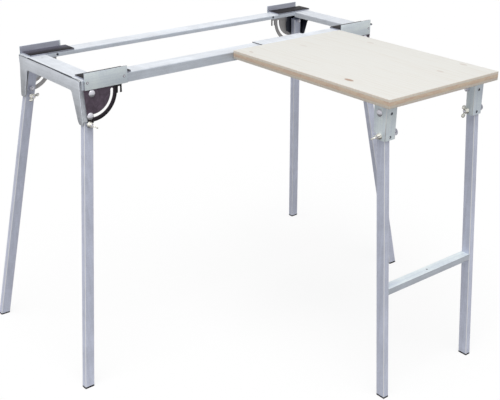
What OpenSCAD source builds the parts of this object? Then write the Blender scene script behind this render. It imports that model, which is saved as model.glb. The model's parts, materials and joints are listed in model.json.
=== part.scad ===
// Folding tile cutter stand: a pressed steel frame on two folding leg frames,
// with a wooden side table that hooks onto the near rail and has its own folding legs.
// X runs along the rails, Y from the side table towards the frame, Z is up.

/* [Main frame] */
// Length of the two long rails
rail_length = 1135; // [1080:5:1300]
// Width over the outer faces of the rails
frame_width = 376; // [360:2:420]
// Height of the rails' top faces above the floor
frame_height = 906; // [860:2:960]
// Width of a rail's top face
rail_width = 55; // [48:1:64]
// Depth of a rail's outer flange
rail_flange = 28; // [24:1:28]
// Depth of a rail's inner lip
rail_lip = 12.5; // [8:0.5:16]
// Sheet thickness of the frame
sheet = 2.5; // [2:0.1:2.5]
// Width of the plate across each end
cross_width = 62; // [50:1:80]
// Depth of the flange on a cross plate's inner edge
cross_flange = 18; // [10:1:22]

/* [Leg hinges] */
// Distance of a leg hinge in from the rail's end
hinge_inset = 28; // [26:0.5:34]
// Depth of a leg hinge below the rail's top face
hinge_drop = 40; // [38:0.5:44]
// Thickness of a quadrant plate
quadrant_thickness = 3; // [2:0.5:3]
// Outer radius of a quadrant plate
quadrant_radius = 81.5; // [78:0.5:84]
// Radius of the arc slot
slot_radius = 65; // [60:0.5:67]
// Width of the arc slot
slot_width = 9.7; // [9:0.1:11]
// Radius on which the lock bolt stands
lock_radius = 89; // [88:0.5:92]
// Sheet thickness of an apron
apron_sheet = 2; // [1.5:0.1:2]

/* [Legs] */
// Wide side of a leg tube
tube_wide = 30; // [26:1:32]
// Narrow side of a leg tube
tube_narrow = 20; // [18:1:20]
// Wall of the leg tubes
tube_wall = 1.5; // [1:0.1:2.5]
// Outward spread of a main foot from its hinge, along the rails
leg_lean = 120.6; // [90:0.5:130]
// Distance of a main foot's centre from the frame's middle plane
foot_reach = 280; // [270:1:290]
// Distance of a main leg's centre line from the middle plane at the hinge
leg_hinge_reach = 164; // [160:0.5:164]
// Height of a foot plug's sole
sole_height = 5; // [3:0.5:10]

/* [Nests] */
// Length of a nest's upright plate
nest_length = 138; // [125:1:145]
// Height of a nest's upright plate above the rail
nest_height = 21.5; // [15:0.5:30]
// Height of a pad's top above the rail
pad_thickness = 5; // [4:0.5:8]
// Thickness of the steel base under a pad's rubber mat
base_thickness = 3.5; // [2:0.1:3.6]
// How much longer a pad is than its plate
pad_overhang = 11.5; // [5:0.5:25]
// How far a pad is shifted from its plate along the rail
pad_shift = 4; // [0:0.5:10]

/* [Side table] */
// Width of the board along the rail
board_width = 454; // [420:1:520]
// Length of the board away from the rail
board_length = 650; // [600:5:720]
// Thickness of the board
board_thickness = 26; // [18:1:26]
// How far the board's top stands above the rail's top
board_rise = 6; // [4:0.5:10]
// Gap along the rail between the board and the right nest's plate
board_gap = 7; // [5:0.5:40]
// Width of the hook plate
hook_width = 203; // [120:1:300]
// Distance from the board's left edge in to the left table leg's centre
leg_inset_left = 32; // [26:0.5:40]
// Distance from the board's right edge in to the right table leg's centre
leg_inset_right = 44; // [26:0.5:48]
// Distance from the board's free edge in to the table leg hinge
table_hinge_inset = 49; // [46:0.5:56]
// Outward spread of a table foot from its hinge
table_leg_lean = 72; // [60:0.5:76]
// Height of the crossbar's top face
crossbar_height = 348; // [200:2:500]

/* [Fasteners] */
// Shank diameter of the bolts
bolt_diameter = 8; // [6:0.5:8]
// Head diameter of the domed bolts
bolt_head = 20.6; // [16:0.1:21]
// Span over a wing nut's wings
wing_span = 38; // [36:0.5:40]
// How far the slackened lock bolts' heads stand off
lock_play = 20; // [0:1:22]

/* [Hidden] */
$fn = 48;

left = -1;
right = 1;
near = -1;
far = 1;
steel = [0.74, 0.77, 0.80];
light_steel = [0.84, 0.86, 0.88];
dark_plate = [0.24, 0.20, 0.23];
brass_nut = [0.87, 0.84, 0.74];
rubber = [0.10, 0.10, 0.10];
spruce = [0.93, 0.91, 0.85];

// Clearances
slack = 0.05;
head_gap = 0.2;
through = foot_reach;

// Levels and half sizes of the main frame
rail_half = rail_length / 2;
frame_half = frame_width / 2;
rail_inner = frame_half - rail_width;
flange_z = frame_height - rail_flange;
hinge_x = rail_half - hinge_inset;
hinge_z = frame_height - hinge_drop;
bend = 3;
cross_inset = 0.5;

// Leg directions
lean_slope = leg_lean / hinge_z;
splay_slope = (foot_reach - leg_hinge_reach) / hinge_z;
lean_angle = atan(lean_slope);
splay_angle = atan(splay_slope * cos(lean_angle));
rest_angle = lean_angle - 90;
foot_x = hinge_x + leg_lean;
tube_round = 2;
tube_top = 8;
leg_drop = hinge_z / cos(lean_angle) / cos(splay_angle) + tube_wide;
guide_x = slot_radius * cos(rest_angle);
guide_z = slot_radius * sin(rest_angle);
lock_x = lock_radius * cos(rest_angle);
lock_z = lock_radius * sin(rest_angle);

// Bolts
bolt_r = bolt_diameter / 2;
bore_r = bolt_r + slack;
head_r = bolt_head / 2;
head_h = 5;
nut_flat = 1.625 * bolt_diameter;
nut_h = 6.5;
tail = 3;
wing_tail = 13;
end_ease = 0.2;
spacer_r = 7;

// Quadrants
quadrant_y = frame_half;
quadrant_face = quadrant_y + quadrant_thickness;
tab_reach = lock_radius + 8.6;
tab_half = 12.6;
tab_top = hinge_drop - rail_flange;
tongue_top = 22;
slot_end = -180.5;
notch_end = -181.5;
notch_arc = 21;
notch_width = bolt_diameter + 0.4;
quadrant_edge_top = 24.5;
quadrant_edge_low = 16;

// Aprons
apron_gap = 2;
apron_face = rail_half + apron_gap + apron_sheet;
apron_top = frame_height - 2;
apron_web_z = hinge_z + 2;
apron_foot_z = hinge_z - 90;
arch_inset = 10;
foot_width = 29;
foot_corner = 8;
return_reach = 33;
apron_slope = 0.092;
return_y = frame_half - 7.6;
apron_tilt = atan(apron_slope);
function apron_edge(z) = return_y + (hinge_z - z) * apron_slope;

// Nests
nest_out = rail_half - 6.5;
nest_in = nest_out - nest_length;
nest_y = quadrant_face;
nest_top = frame_height + nest_height;
base_top = frame_height + base_thickness;
upright_sheet = 2.5;
upright_short = 5.5;
upright_drop = 0.4;
pad_length = nest_length + pad_overhang;
pad_start_right = nest_in + pad_shift;
pad_end_left = nest_out - pad_shift;
rivet_r = 4;
rivet_h = 1.2;

// Side table
board_top = frame_height + board_rise;
board_under = board_top - board_thickness;
hook_sheet = 2.5;
hook_gap = 0.3;
hook_inner = rail_inner - hook_gap;
hook_outer = frame_half + hook_gap + hook_sheet;
board_near = hook_outer;
board_end = board_near + board_length;
hook_lip = 15;
hook_shelf = 42;
board_x = nest_in - board_gap - board_width / 2;
legs_x = board_x + (leg_inset_left - leg_inset_right) / 2;
legs_half = board_width / 2 - (leg_inset_left + leg_inset_right) / 2;
table_hinge_y = -(board_end - table_hinge_inset);
table_hinge_z = board_under - 25;
table_slope = table_leg_lean / table_hinge_z;
table_lean_angle = atan(table_slope);
table_leg_drop = table_hinge_z / cos(table_lean_angle) + tube_wide;
bracket_sheet = 2;
bracket_web_y = table_hinge_y - tube_wide / 2 - 10.4;
bracket_wide = 40;
bracket_out = legs_half + tube_narrow / 2 + 1.6 + bracket_sheet;
bracket_in = bracket_out - bracket_wide;
bracket_low = board_under - 100;
deep_flange = 46;
shallow_flange = 28;
flange_taper = 4;
web_corner = 5;
web_hole_r = 3;
web_hole_up = 9;
table_lock_drop = 64;
table_lock_y = -table_lock_drop * sin(table_lean_angle);
table_lock_z = -table_lock_drop * cos(table_lean_angle);
crossbar_deep = 30;
crossbar_tall = 19;
crossbar_hole = 3;

// Middle of the part along Y, so that the origin lies under the middle of its outline
foot_edge = tube_narrow / 2 / cos(splay_angle);
table_foot_edge = tube_wide / 2 / cos(table_lean_angle);
far_limit = foot_reach + foot_edge;
near_limit = table_hinge_y - table_leg_lean - table_foot_edge;
middle_y = (far_limit + near_limit) / 2;

// Rectangle with rounded corners, from its low corner
module round_rect(size, r) {
    translate([r, 0]) square([size.x - 2 * r, size.y]);
    translate([0, r]) square([size.x, size.y - 2 * r]);
    for (x = [r, size.x - r], y = [r, size.y - r])
        translate([x, y]) circle(r, $fn = 32);
}

// Section of a bent channel, top face on the X axis, with a flange at each side
module channel(wide, flange_a, flange_b, t) {
    deep = 2 * max(flange_a, flange_b);
    intersection() {
        difference() {
            translate([0, -deep]) round_rect([wide, deep], bend);
            translate([t, -deep - t]) round_rect([wide - 2 * t, deep], bend - t + 0.5);
        }
        union() {
            translate([0, -flange_a]) square([wide / 2, flange_a]);
            translate([wide / 2, -flange_b]) square([wide / 2, flange_b]);
        }
    }
}

// Plate drawn in X and Z, from y to y + t
module plate_xz(y, t) {
    translate([0, y + t, 0]) rotate([90, 0, 0]) linear_extrude(t) children();
}

// Plate drawn in Y and Z, from x to x + t
module plate_yz(x, t) {
    translate([x, 0, 0]) rotate([90, 0, 90]) linear_extrude(t) children();
}

// Straight rod along Y, from y0 to y1
module rod_y(x, y0, y1, z, r) {
    translate([x, min(y0, y1), z]) rotate([-90, 0, 0]) cylinder(h = abs(y1 - y0), r = r);
}

// Straight rod along X, from x0 to x1
module rod_x(x0, x1, y, z, r) {
    translate([min(x0, x1), y, z]) rotate([0, 90, 0]) cylinder(h = abs(x1 - x0), r = r);
}

// Places a piece that is drawn for the right far corner
module at_corner(side, end) {
    mirror([side < 0 ? 1 : 0, 0, 0]) mirror([0, end < 0 ? 1 : 0, 0]) children();
}

// Places a piece that is drawn for the right end
module at_side(side) {
    mirror([side < 0 ? 1 : 0, 0, 0]) children();
}

// Moves the whole stand so that the origin is under its middle
module placed(c) {
    color(c) translate([0, -middle_y, 0]) children();
}

// Ring sector with round ends, angles counted from +X, from the larger angle down to the smaller
module arc_slot(r, wide, high, low) {
    reach = 2 * r;
    span = high - low;
    intersection() {
        difference() {
            circle(r + wide / 2, $fn = 96);
            circle(r - wide / 2, $fn = 96);
        }
        polygon([[0, 0], for (i = [0:4]) reach * [cos(high - span * i / 4), sin(high - span * i / 4)]]);
    }
    for (a = [high, low]) translate(r * [cos(a), sin(a)]) circle(wide / 2 + end_ease);
}

// Domed bolt head, seat at z = 0
module dome_head() {
    ball = (head_r * head_r + head_h * head_h) / (2 * head_h);
    rotate_extrude($fn = 64) intersection() {
        translate([0, head_h - ball]) circle(ball, $fn = 96);
        square([head_r, head_h]);
    }
}

// Hexagon nut with its bore, seat at z = 0
module hex_nut() {
    difference() {
        cylinder(h = nut_h, r = nut_flat / 2 / cos(30), $fn = 6);
        translate([0, 0, -1]) cylinder(h = nut_h + 2, r = bore_r);
    }
}

// Wing nut with its bore, seat at z = 0, wings along X
module wing_nut() {
    hub = bolt_r + 4.4;
    lift = 5;
    wing = 7;
    reach = wing_span / 2 - wing;
    difference() {
        union() {
            cylinder(h = 2, r = hub);
            translate([0, 0, 2]) cylinder(h = 8, r1 = hub - 0.6, r2 = hub - 2);
            for (s = [-1, 1]) translate([0, 1.6, 0]) rotate([90, 0, 0]) linear_extrude(3.2) union() {
                polygon([
                    [0, 3], [s * 8, lift], [s * reach, lift + 3],
                    [s * reach, lift + 14], [s * 4, lift + 6], [0, lift + 6]
                ]);
                translate([s * reach, lift + 8.8]) circle(wing);
            }
        }
        translate([0, 0, -1]) cylinder(h = 20, r = bore_r);
        translate([0, 0, 10]) cylinder(h = 20, r = hub - 2);
    }
}

// Hollow leg tube along Z with rounded corners, centred
module tube_section(wide_x, wide_y) {
    difference() {
        translate([-wide_x / 2, -wide_y / 2]) round_rect([wide_x, wide_y], tube_round);
        translate([tube_wall - wide_x / 2, tube_wall - wide_y / 2])
            square([wide_x - 2 * tube_wall, wide_y - 2 * tube_wall]);
    }
}

// Block of floor up to a level, to cut tubes and plugs
module floor_block(x, y, top) {
    span = 4 * tube_wide;
    translate([x - span / 2, y - span / 2, top - span]) cube([span, span, span]);
}

// Long rail, drawn for the far side
module rail() {
    translate([-rail_half, 0, frame_height]) rotate([90, 0, 90])
        linear_extrude(rail_length)
            translate([rail_inner, 0]) channel(rail_width, rail_lip, rail_flange, sheet);
}

// Plate across the right end, between the rails
module cross_plate() {
    translate([rail_half - cross_inset, 0, frame_height]) rotate([90, 0, 0])
        translate([-cross_width, 0, -rail_inner]) linear_extrude(2 * rail_inner)
            channel(cross_width, cross_flange, rail_flange - 6, sheet);
}

// Outline of a quadrant about its hinge, outboard side at +X
module quadrant_outline() {
    intersection() {
        circle(quadrant_radius, $fn = 128);
        polygon([
            [quadrant_edge_top, tab_top], [-quadrant_radius - 5, tab_top],
            [-quadrant_radius - 5, -quadrant_radius - 5], [quadrant_edge_low, -quadrant_radius - 5]
        ]);
    }
    translate([-tab_reach, -tab_half]) square([tab_reach - slot_radius, tab_half + tab_top]);
    rotate(lean_angle) translate([-tab_half, -tab_reach])
        square([tab_half + 5, tab_reach - slot_radius]);
    translate([-tab_reach, tab_top - 8]) square([tab_reach + 20, tongue_top + 8]);
}

// Quadrant plate with its hinge hole, arc slot and two lock notches
module quadrant() {
    plate_xz(quadrant_y, quadrant_thickness) translate([hinge_x, hinge_z]) difference() {
        quadrant_outline();
        circle(bore_r);
        arc_slot(slot_radius, slot_width, rest_angle + 0.5, slot_end);
        arc_slot(lock_radius, notch_width, rest_angle, rest_angle - notch_arc);
        arc_slot(lock_radius, notch_width, notch_end + notch_arc, notch_end);
    }
}

// Nest bracket: outer plate, base under the mat and inner upright, which each have their own ends
module nest_bracket(base_from, base_to, upright_from, upright_to) {
    plate_xz(nest_y, sheet) translate([nest_in, flange_z]) square([nest_length, nest_top - flange_z]);
    translate([base_from, rail_inner, frame_height])
        cube([base_to - base_from, rail_width, base_thickness]);
    join_from = max(base_from, nest_in);
    translate([join_from, frame_half - 1, frame_height])
        cube([min(base_to, nest_out) - join_from, nest_y - frame_half + 1 + sheet / 2, base_thickness]);
    plate_xz(nest_y - upright_sheet, upright_sheet + sheet / 2)
        translate([upright_from, frame_height + base_thickness / 2])
            square([upright_to - upright_from, nest_height - upright_drop - base_thickness / 2]);
}

// Rubber mat on the base of a nest
module mat(from, to) {
    translate([from, rail_inner, base_top]) cube([to - from, rail_width, pad_thickness - base_thickness]);
}

// Flat rivet heads on a nest plate
module nest_rivets() {
    for (x = [nest_out - 8, nest_in + 11])
        rod_y(x, nest_y + sheet, nest_y + sheet + rivet_h, frame_height - 7, rivet_r);
}

// Puts the local -Z axis along the right far leg, with the origin at the hinge
module on_leg() {
    translate([hinge_x, leg_hinge_reach, hinge_z]) rotate([splay_angle, -lean_angle, 0]) children();
}

// Bores of the three hinge bolts, along Y
module hinge_bores(r) {
    for (p = [[0, 0], [guide_x, guide_z], [lock_x, lock_z]])
        rod_y(hinge_x + p.x, 0, through, hinge_z + p.y, r);
}

// Main leg tube for the right far corner
module leg_tube() {
    difference() {
        on_leg() translate([0, 0, -leg_drop])
            linear_extrude(leg_drop + tube_top) tube_section(tube_wide, tube_narrow);
        hinge_bores(bore_r);
        floor_block(foot_x, foot_reach, sole_height);
    }
}

// Foot plug for the right far corner
module foot_plug() {
    inner_x = tube_wide - 2 * tube_wall - 2 * slack;
    inner_y = tube_narrow - 2 * tube_wall - 2 * slack;
    difference() {
        on_leg() translate([-inner_x / 2, -inner_y / 2, -leg_drop]) cube([inner_x, inner_y, 50]);
        floor_block(foot_x, foot_reach, sole_height);
    }
    intersection() {
        on_leg() translate([-tube_wide / 2, -tube_narrow / 2, -leg_drop])
            linear_extrude(60) round_rect([tube_wide, tube_narrow], tube_round);
        translate([0, 0, sole_height]) floor_slab();
    }
}

// Slab under z = 0 as thick as a sole, over the whole footprint
module floor_slab() {
    span = 4 * rail_length;
    translate([-span / 2, -span / 2, -sole_height]) cube([span, span, sole_height]);
}

// Half outline of an apron in Y and Z
module apron_half() {
    inner_top = rail_inner - arch_inset;
    foot = apron_edge(apron_foot_z);
    corner_z = apron_foot_z + foot_corner;
    polygon([
        [0, apron_top], [apron_edge(apron_top), apron_top],
        [apron_edge(corner_z), corner_z], [foot - foot_corner / 2, apron_foot_z],
        [foot - foot_width + foot_corner - 1, apron_foot_z], [foot - foot_width, corner_z],
        [inner_top + 12, apron_web_z - 6], [inner_top + 9, apron_web_z - 2.2],
        [inner_top + 4, apron_web_z - 0.4], [inner_top, apron_web_z], [0, apron_web_z]
    ]);
}

// Return plate at an apron's side, drawn about the hinge
module apron_return() {
    edge = apron_face - hinge_x;
    top = apron_top - hinge_z;
    low = apron_foot_z - hinge_z + 10;
    behind = 1 - tube_wide / 2;
    translate([hinge_x, return_y, hinge_z]) rotate([apron_tilt, 0, 0])
        plate_xz(-apron_sheet, apron_sheet) polygon([
            [edge, top - 2], [4, top - 2], [11 - return_reach, 28], [-return_reach, 12],
            [-return_reach, -20], [4 - return_reach, -40], [guide_x + behind, guide_z + 12],
            [lock_x + behind, low], [edge, low]
        ]);
}

// Apron with its two side returns, for the right end
module apron() {
    difference() {
        union() {
            plate_yz(apron_face - apron_sheet, apron_sheet) {
                apron_half();
                mirror([1, 0]) apron_half();
            }
            apron_return();
            mirror([0, 1, 0]) apron_return();
        }
        for (s = [0, 1]) mirror([0, s, 0]) hinge_bores(bore_r);
    }
}

// Distances from the middle plane of a leg's outer and inner faces, at a depth below the hinge
function leg_outer(drop) = leg_hinge_reach + drop * splay_slope + foot_edge;
function leg_inner(drop) = leg_hinge_reach + drop * splay_slope - foot_edge;

// Bolt with a domed head outside the quadrant and its end past the nut, for the right far corner
module hinge_bolt(x, z, inner) {
    rod_y(hinge_x + x, inner, quadrant_face + head_gap + 0.5, hinge_z + z, bolt_r);
    translate([hinge_x + x, quadrant_face + head_gap, hinge_z + z]) rotate([-90, 0, 0]) dome_head();
}

// Seat of a nut on a leg's inner face, and the end of its bolt
function nut_seat(drop) = leg_inner(drop) - nut_flat * splay_slope - head_gap;
function bolt_end(drop) = nut_seat(drop) - nut_h - tail;

module pivot_bolt() {
    hinge_bolt(0, 0, bolt_end(0));
}

module guide_bolt() {
    hinge_bolt(guide_x, guide_z, bolt_end(-guide_z));
}

// Lock bolt with its head outside and room for a wing nut inside
module lock_bolt_in() {
    hinge_bolt(lock_x, lock_z, wing_seat_in - wing_tail);
}

// Lock bolt with its head inside and room for a wing nut outside
module lock_bolt_out() {
    seat = leg_inner(-lock_z) - head_r * splay_slope - lock_play;
    rod_y(hinge_x + lock_x, seat, quadrant_face + head_gap + wing_tail, hinge_z + lock_z, bolt_r);
    translate([hinge_x + lock_x, seat, hinge_z + lock_z]) rotate([90, 0, 0]) dome_head();
}

wing_seat_in = leg_inner(-lock_z) - 9 * splay_slope - lock_play / 2;

// Wing nut inside a leg, for the right far corner, turned by the given angle
module wing_nut_in(turn) {
    translate([hinge_x + lock_x, wing_seat_in, hinge_z + lock_z]) rotate([90, turn, 0]) wing_nut();
}

// Wing nut outside a quadrant, for the right far corner, turned by the given angle
module wing_nut_out(turn) {
    translate([hinge_x + lock_x, quadrant_face + head_gap, hinge_z + lock_z])
        rotate([-90, turn, 0]) wing_nut();
}

// Nuts on the pivot and guide bolts, for the right far corner
module hinge_nut_pair() {
    translate([hinge_x, nut_seat(0), hinge_z]) rotate([90, 0, 0]) hex_nut();
    translate([hinge_x + guide_x, nut_seat(-guide_z), hinge_z + guide_z])
        rotate([90, 0, 0]) hex_nut();
}

// Spacer on the pivot bolt between the apron's return and the quadrant
module hinge_spacer() {
    from = return_y + spacer_r * apron_slope + head_gap;
    difference() {
        rod_y(hinge_x, from, quadrant_y - head_gap, hinge_z, spacer_r);
        rod_y(hinge_x, from - 1, quadrant_y + 1, hinge_z, bore_r);
    }
}

// Both pieces of a pair at the near and far corners of one end
module pair(side) {
    for (end = [near, far]) at_corner(side, end) children();
}

// Wooden board of the side table
module table_board() {
    difference() {
        translate([board_x - board_width / 2, -board_end, board_under])
            cube([board_width, board_length, board_thickness]);
        screw_bores(board_under - 1, screw_depth + 1);
    }
}

// Steel plate that hooks the board over the near rail
module hook_plate() {
    difference() {
        translate([board_x - hook_width / 2, 0, 0]) rotate([90, 0, 90]) linear_extrude(hook_width) {
            translate([-hook_outer, frame_height])
                square([hook_outer - hook_inner + hook_sheet, hook_sheet]);
            translate([-hook_inner, frame_height - hook_lip]) square([hook_sheet, hook_lip + hook_sheet]);
            translate([-hook_outer, board_under - hook_sheet])
                square([hook_sheet, frame_height + hook_sheet - board_under + hook_sheet]);
            translate([-hook_outer - hook_shelf, board_under - hook_sheet])
                square([hook_shelf + hook_sheet, hook_sheet]);
        }
        screw_bores(board_under - hook_sheet - 1, hook_sheet + 2);
    }
}

screw_r = 2;
screw_depth = 16;
screw_head_r = 4.5;
screw_head_h = 2.5;
hook_screw_y = -hook_outer - hook_shelf / 2 - 4;

// Places of the hook plate's screws along the rail
function hook_screw_xs() = [for (s = [-1, 0, 1]) board_x + s * hook_width / 3];

module screw_bores(z, h) {
    for (x = hook_screw_xs()) translate([x, hook_screw_y, z]) cylinder(h = h, r = screw_r + slack);
    for (s = [-1, 1]) for (p = bracket_screw_places())
        translate([legs_x + s * p.x, p.y, z]) cylinder(h = h, r = screw_r + slack);
}

// Screw with its head below z = 0
module wood_screw(under) {
    translate([0, 0, board_under]) cylinder(h = screw_depth - 1, r = screw_r);
    translate([0, 0, board_under - under - 1]) cylinder(h = under + 1, r = screw_r);
    translate([0, 0, board_under - under - screw_head_h])
        cylinder(h = screw_head_h, r1 = screw_head_r - 1.5, r2 = screw_head_r);
}

module hook_screws() {
    for (x = hook_screw_xs()) translate([x, hook_screw_y, 0]) wood_screw(hook_sheet);
}

bracket_top_in = bracket_in - 30;
bracket_plate = 96;
screw_edge = 9;
screw_row_near = bracket_web_y + 12;
screw_row_far = bracket_web_y + bracket_plate - 12;

function bracket_screw_places() = [
    [bracket_top_in + screw_edge, screw_row_near], [bracket_top_in + screw_edge, screw_row_far],
    [(bracket_in + bracket_out) / 2, screw_row_far]
];

// Bracket under the board, drawn for the right table leg about x = 0 at the table's middle
module table_bracket() {
    difference() {
        union() {
            translate([bracket_top_in, bracket_web_y, board_under - bracket_sheet])
                cube([bracket_out - bracket_top_in, bracket_plate, bracket_sheet]);
            plate_xz(bracket_web_y, bracket_sheet) polygon([
                [bracket_in, board_under], [bracket_out, board_under],
                [bracket_out, bracket_low + web_corner], [bracket_out - web_corner, bracket_low],
                [bracket_in + web_corner, bracket_low], [bracket_in, bracket_low + web_corner]
            ]);
            plate_yz(bracket_out - bracket_sheet, bracket_sheet) bracket_side(deep_flange);
            plate_yz(bracket_in, bracket_sheet) bracket_side(shallow_flange);
        }
        rod_x(0, through, table_hinge_y, table_hinge_z, bore_r);
        for (z = [table_hinge_z, bracket_low + web_hole_up])
            rod_y((bracket_in + bracket_out) / 2, bracket_web_y - 1, bracket_web_y + 2 * bracket_sheet,
                z, web_hole_r);
        screw_bores_bracket();
    }
}

module screw_bores_bracket() {
    for (p = bracket_screw_places())
        translate([p.x, p.y, board_under - bracket_sheet - 1])
            cylinder(h = bracket_sheet + 2, r = screw_r + slack);
}

// Side flange of a bracket in Y and Z, open towards the lock bolt's path
module bracket_side(deep) {
    back = bracket_web_y + deep;
    difference() {
        polygon([
            [bracket_web_y, board_under], [back, board_under],
            [back - flange_taper, bracket_low + web_corner],
            [back - flange_taper - web_corner, bracket_low], [bracket_web_y, bracket_low]
        ]);
        translate([table_hinge_y, table_hinge_z])
            arc_slot(table_lock_drop, notch_width, -60, -90 - table_lean_angle);
    }
}

// Puts the local -Z axis along the right table leg, about x = 0 at the table's middle
module on_table_leg() {
    translate([legs_half, table_hinge_y, table_hinge_z]) rotate([-table_lean_angle, 0, 0]) children();
}

// Places a piece that is drawn for the right table leg
module at_table(side) {
    translate([legs_x, 0, 0]) mirror([side < 0 ? 1 : 0, 0, 0]) children();
}

module table_leg() {
    difference() {
        on_table_leg() translate([0, 0, -table_leg_drop])
            linear_extrude(table_leg_drop + 12) tube_section(tube_narrow, tube_wide);
        rod_x(0, through, table_hinge_y, table_hinge_z, bore_r);
        rod_x(0, through, table_hinge_y + table_lock_y, table_hinge_z + table_lock_z, bore_r);
        floor_block(legs_half, table_hinge_y - table_leg_lean, sole_height);
    }
}

module table_foot_plug() {
    inner_x = tube_narrow - 2 * tube_wall - 2 * slack;
    inner_y = tube_wide - 2 * tube_wall - 2 * slack;
    difference() {
        on_table_leg() translate([-inner_x / 2, -inner_y / 2, -table_leg_drop])
            cube([inner_x, inner_y, 50]);
        floor_block(legs_half, table_hinge_y - table_leg_lean, sole_height);
    }
    intersection() {
        on_table_leg() translate([-tube_narrow / 2, -tube_wide / 2, -table_leg_drop])
            linear_extrude(60) round_rect([tube_narrow, tube_wide], tube_round);
        translate([0, 0, sole_height]) floor_slab();
    }
}

// Crossbar between the table's legs
module crossbar() {
    drop = table_hinge_z - crossbar_height + crossbar_tall / 2;
    half = legs_half - tube_narrow / 2 - head_gap;
    y = table_hinge_y - drop * table_slope;
    difference() {
        translate([legs_x - half, y - crossbar_deep / 2, crossbar_height - crossbar_tall])
            cube([2 * half, crossbar_deep, crossbar_tall]);
        translate([legs_x - half - 1, y, crossbar_height - crossbar_tall / 2])
            translate([0, tube_wall - crossbar_deep / 2, tube_wall - crossbar_tall / 2])
                cube([2 * half + 2, crossbar_deep - 2 * tube_wall, crossbar_tall - 2 * tube_wall]);
        translate([legs_x, y, crossbar_height - 5]) cylinder(h = 10, r = crossbar_hole);
    }
}

// Bolt along X through a bracket, its head outside, for the right table leg
module table_pivot_bolt() {
    seat = bracket_out + head_gap;
    rod_x(bracket_in - 0.4 - nut_h - tail, seat, table_hinge_y, table_hinge_z, bolt_r);
    translate([seat, table_hinge_y, table_hinge_z]) rotate([0, 90, 0]) dome_head();
}

module table_nut() {
    translate([bracket_in - 0.2, table_hinge_y, table_hinge_z]) rotate([0, -90, 0]) hex_nut();
}

module table_spacer() {
    from = bracket_in + bracket_sheet + head_gap;
    to = legs_half - tube_narrow / 2 - 2 * head_gap;
    difference() {
        rod_x(from, to, table_hinge_y, table_hinge_z, spacer_r);
        rod_x(from - 1, to + 1, table_hinge_y, table_hinge_z, bore_r);
    }
}

// Lock bolt of a table leg: its wing nut is on the -X side of both legs
module table_lock_bolt(side) {
    y = table_hinge_y + table_lock_y;
    z = table_hinge_z + table_lock_z;
    head_at = side < 0 ? bracket_in - lock_play : bracket_out + lock_play;
    nut_at = side < 0 ? bracket_out + head_gap : bracket_in - head_gap;
    way = side < 0 ? -1 : 1;
    rod_x(head_at, nut_at - way * wing_tail, y, z, bolt_r);
    translate([head_at, y, z]) rotate([0, way * 90, 0]) dome_head();
}

module table_wing_nut(side, turn) {
    nut_at = side < 0 ? bracket_out + head_gap : bracket_in - head_gap;
    way = side < 0 ? 1 : -1;
    translate([nut_at, table_hinge_y + table_lock_y, table_hinge_z + table_lock_z])
        rotate([turn, 0, 0]) rotate([0, way * 90, 0]) wing_nut();
}

module rail_near() { placed(light_steel) mirror([0, 1, 0]) rail(); }
module rail_far() { placed(light_steel) rail(); }
module cross_plate_left() { placed(light_steel) at_side(left) cross_plate(); }
module cross_plate_right() { placed(light_steel) at_side(right) cross_plate(); }
module quadrant_near_left() { placed(dark_plate) at_corner(left, near) quadrant(); }
module quadrant_near_right() { placed(dark_plate) at_corner(right, near) quadrant(); }
module quadrant_far_left() { placed(dark_plate) at_corner(left, far) quadrant(); }
module quadrant_far_right() { placed(dark_plate) at_corner(right, far) quadrant(); }
module nest_left() {
    nest_bracket(pad_end_left - pad_length, pad_end_left, nest_in + upright_short, nest_out);
}
module nest_right() {
    nest_bracket(pad_start_right, pad_start_right + pad_length, nest_in, nest_out - upright_short);
}
module nest_bracket_near_left() { placed(steel) at_corner(left, near) nest_left(); }
module nest_bracket_near_right() { placed(steel) at_corner(right, near) nest_right(); }
module nest_bracket_far_left() { placed(steel) at_corner(left, far) nest_left(); }
module nest_bracket_far_right() { placed(steel) at_corner(right, far) nest_right(); }
module pad_left() { mat(pad_end_left - pad_length, pad_end_left); }
module pad_right() { mat(pad_start_right, pad_start_right + pad_length); }
module pad_near_left() { placed(rubber) at_corner(left, near) pad_left(); }
module pad_near_right() { placed(rubber) at_corner(right, near) pad_right(); }
module pad_far_left() { placed(rubber) at_corner(left, far) pad_left(); }
module pad_far_right() { placed(rubber) at_corner(right, far) pad_right(); }
module frame_rivets() { placed(steel) for (side = [left, right]) pair(side) nest_rivets(); }

module apron_left() { placed(steel) at_side(left) apron(); }
module apron_right() { placed(steel) at_side(right) apron(); }
module leg_tube_near_left() { placed(steel) at_corner(left, near) leg_tube(); }
module leg_tube_far_left() { placed(steel) at_corner(left, far) leg_tube(); }
module leg_tube_near_right() { placed(steel) at_corner(right, near) leg_tube(); }
module leg_tube_far_right() { placed(steel) at_corner(right, far) leg_tube(); }
module foot_plugs_left() { placed(rubber) pair(left) foot_plug(); }
module foot_plugs_right() { placed(rubber) pair(right) foot_plug(); }
module pivot_bolts_left() { placed(steel) pair(left) pivot_bolt(); }
module pivot_bolts_right() { placed(steel) pair(right) pivot_bolt(); }
module guide_bolts_left() { placed(steel) pair(left) guide_bolt(); }
module guide_bolts_right() { placed(steel) pair(right) guide_bolt(); }
module lock_bolts(side) {
    at_corner(side, far) lock_bolt_in();
    at_corner(side, near) lock_bolt_out();
}
module lock_bolts_left() { placed(steel) lock_bolts(left); }
module lock_bolts_right() { placed(steel) lock_bolts(right); }
module hinge_nuts_left() { placed(steel) pair(left) hinge_nut_pair(); }
module hinge_nuts_right() { placed(steel) pair(right) hinge_nut_pair(); }
module hinge_spacers_left() { placed(steel) pair(left) hinge_spacer(); }
module hinge_spacers_right() { placed(steel) pair(right) hinge_spacer(); }
module wing_nut_near_left() { placed(brass_nut) at_corner(left, near) wing_nut_out(-30); }
module wing_nut_near_right() { placed(brass_nut) at_corner(right, near) wing_nut_out(15); }
module wing_nut_far_left() { placed(brass_nut) at_corner(left, far) wing_nut_in(30); }
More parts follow.
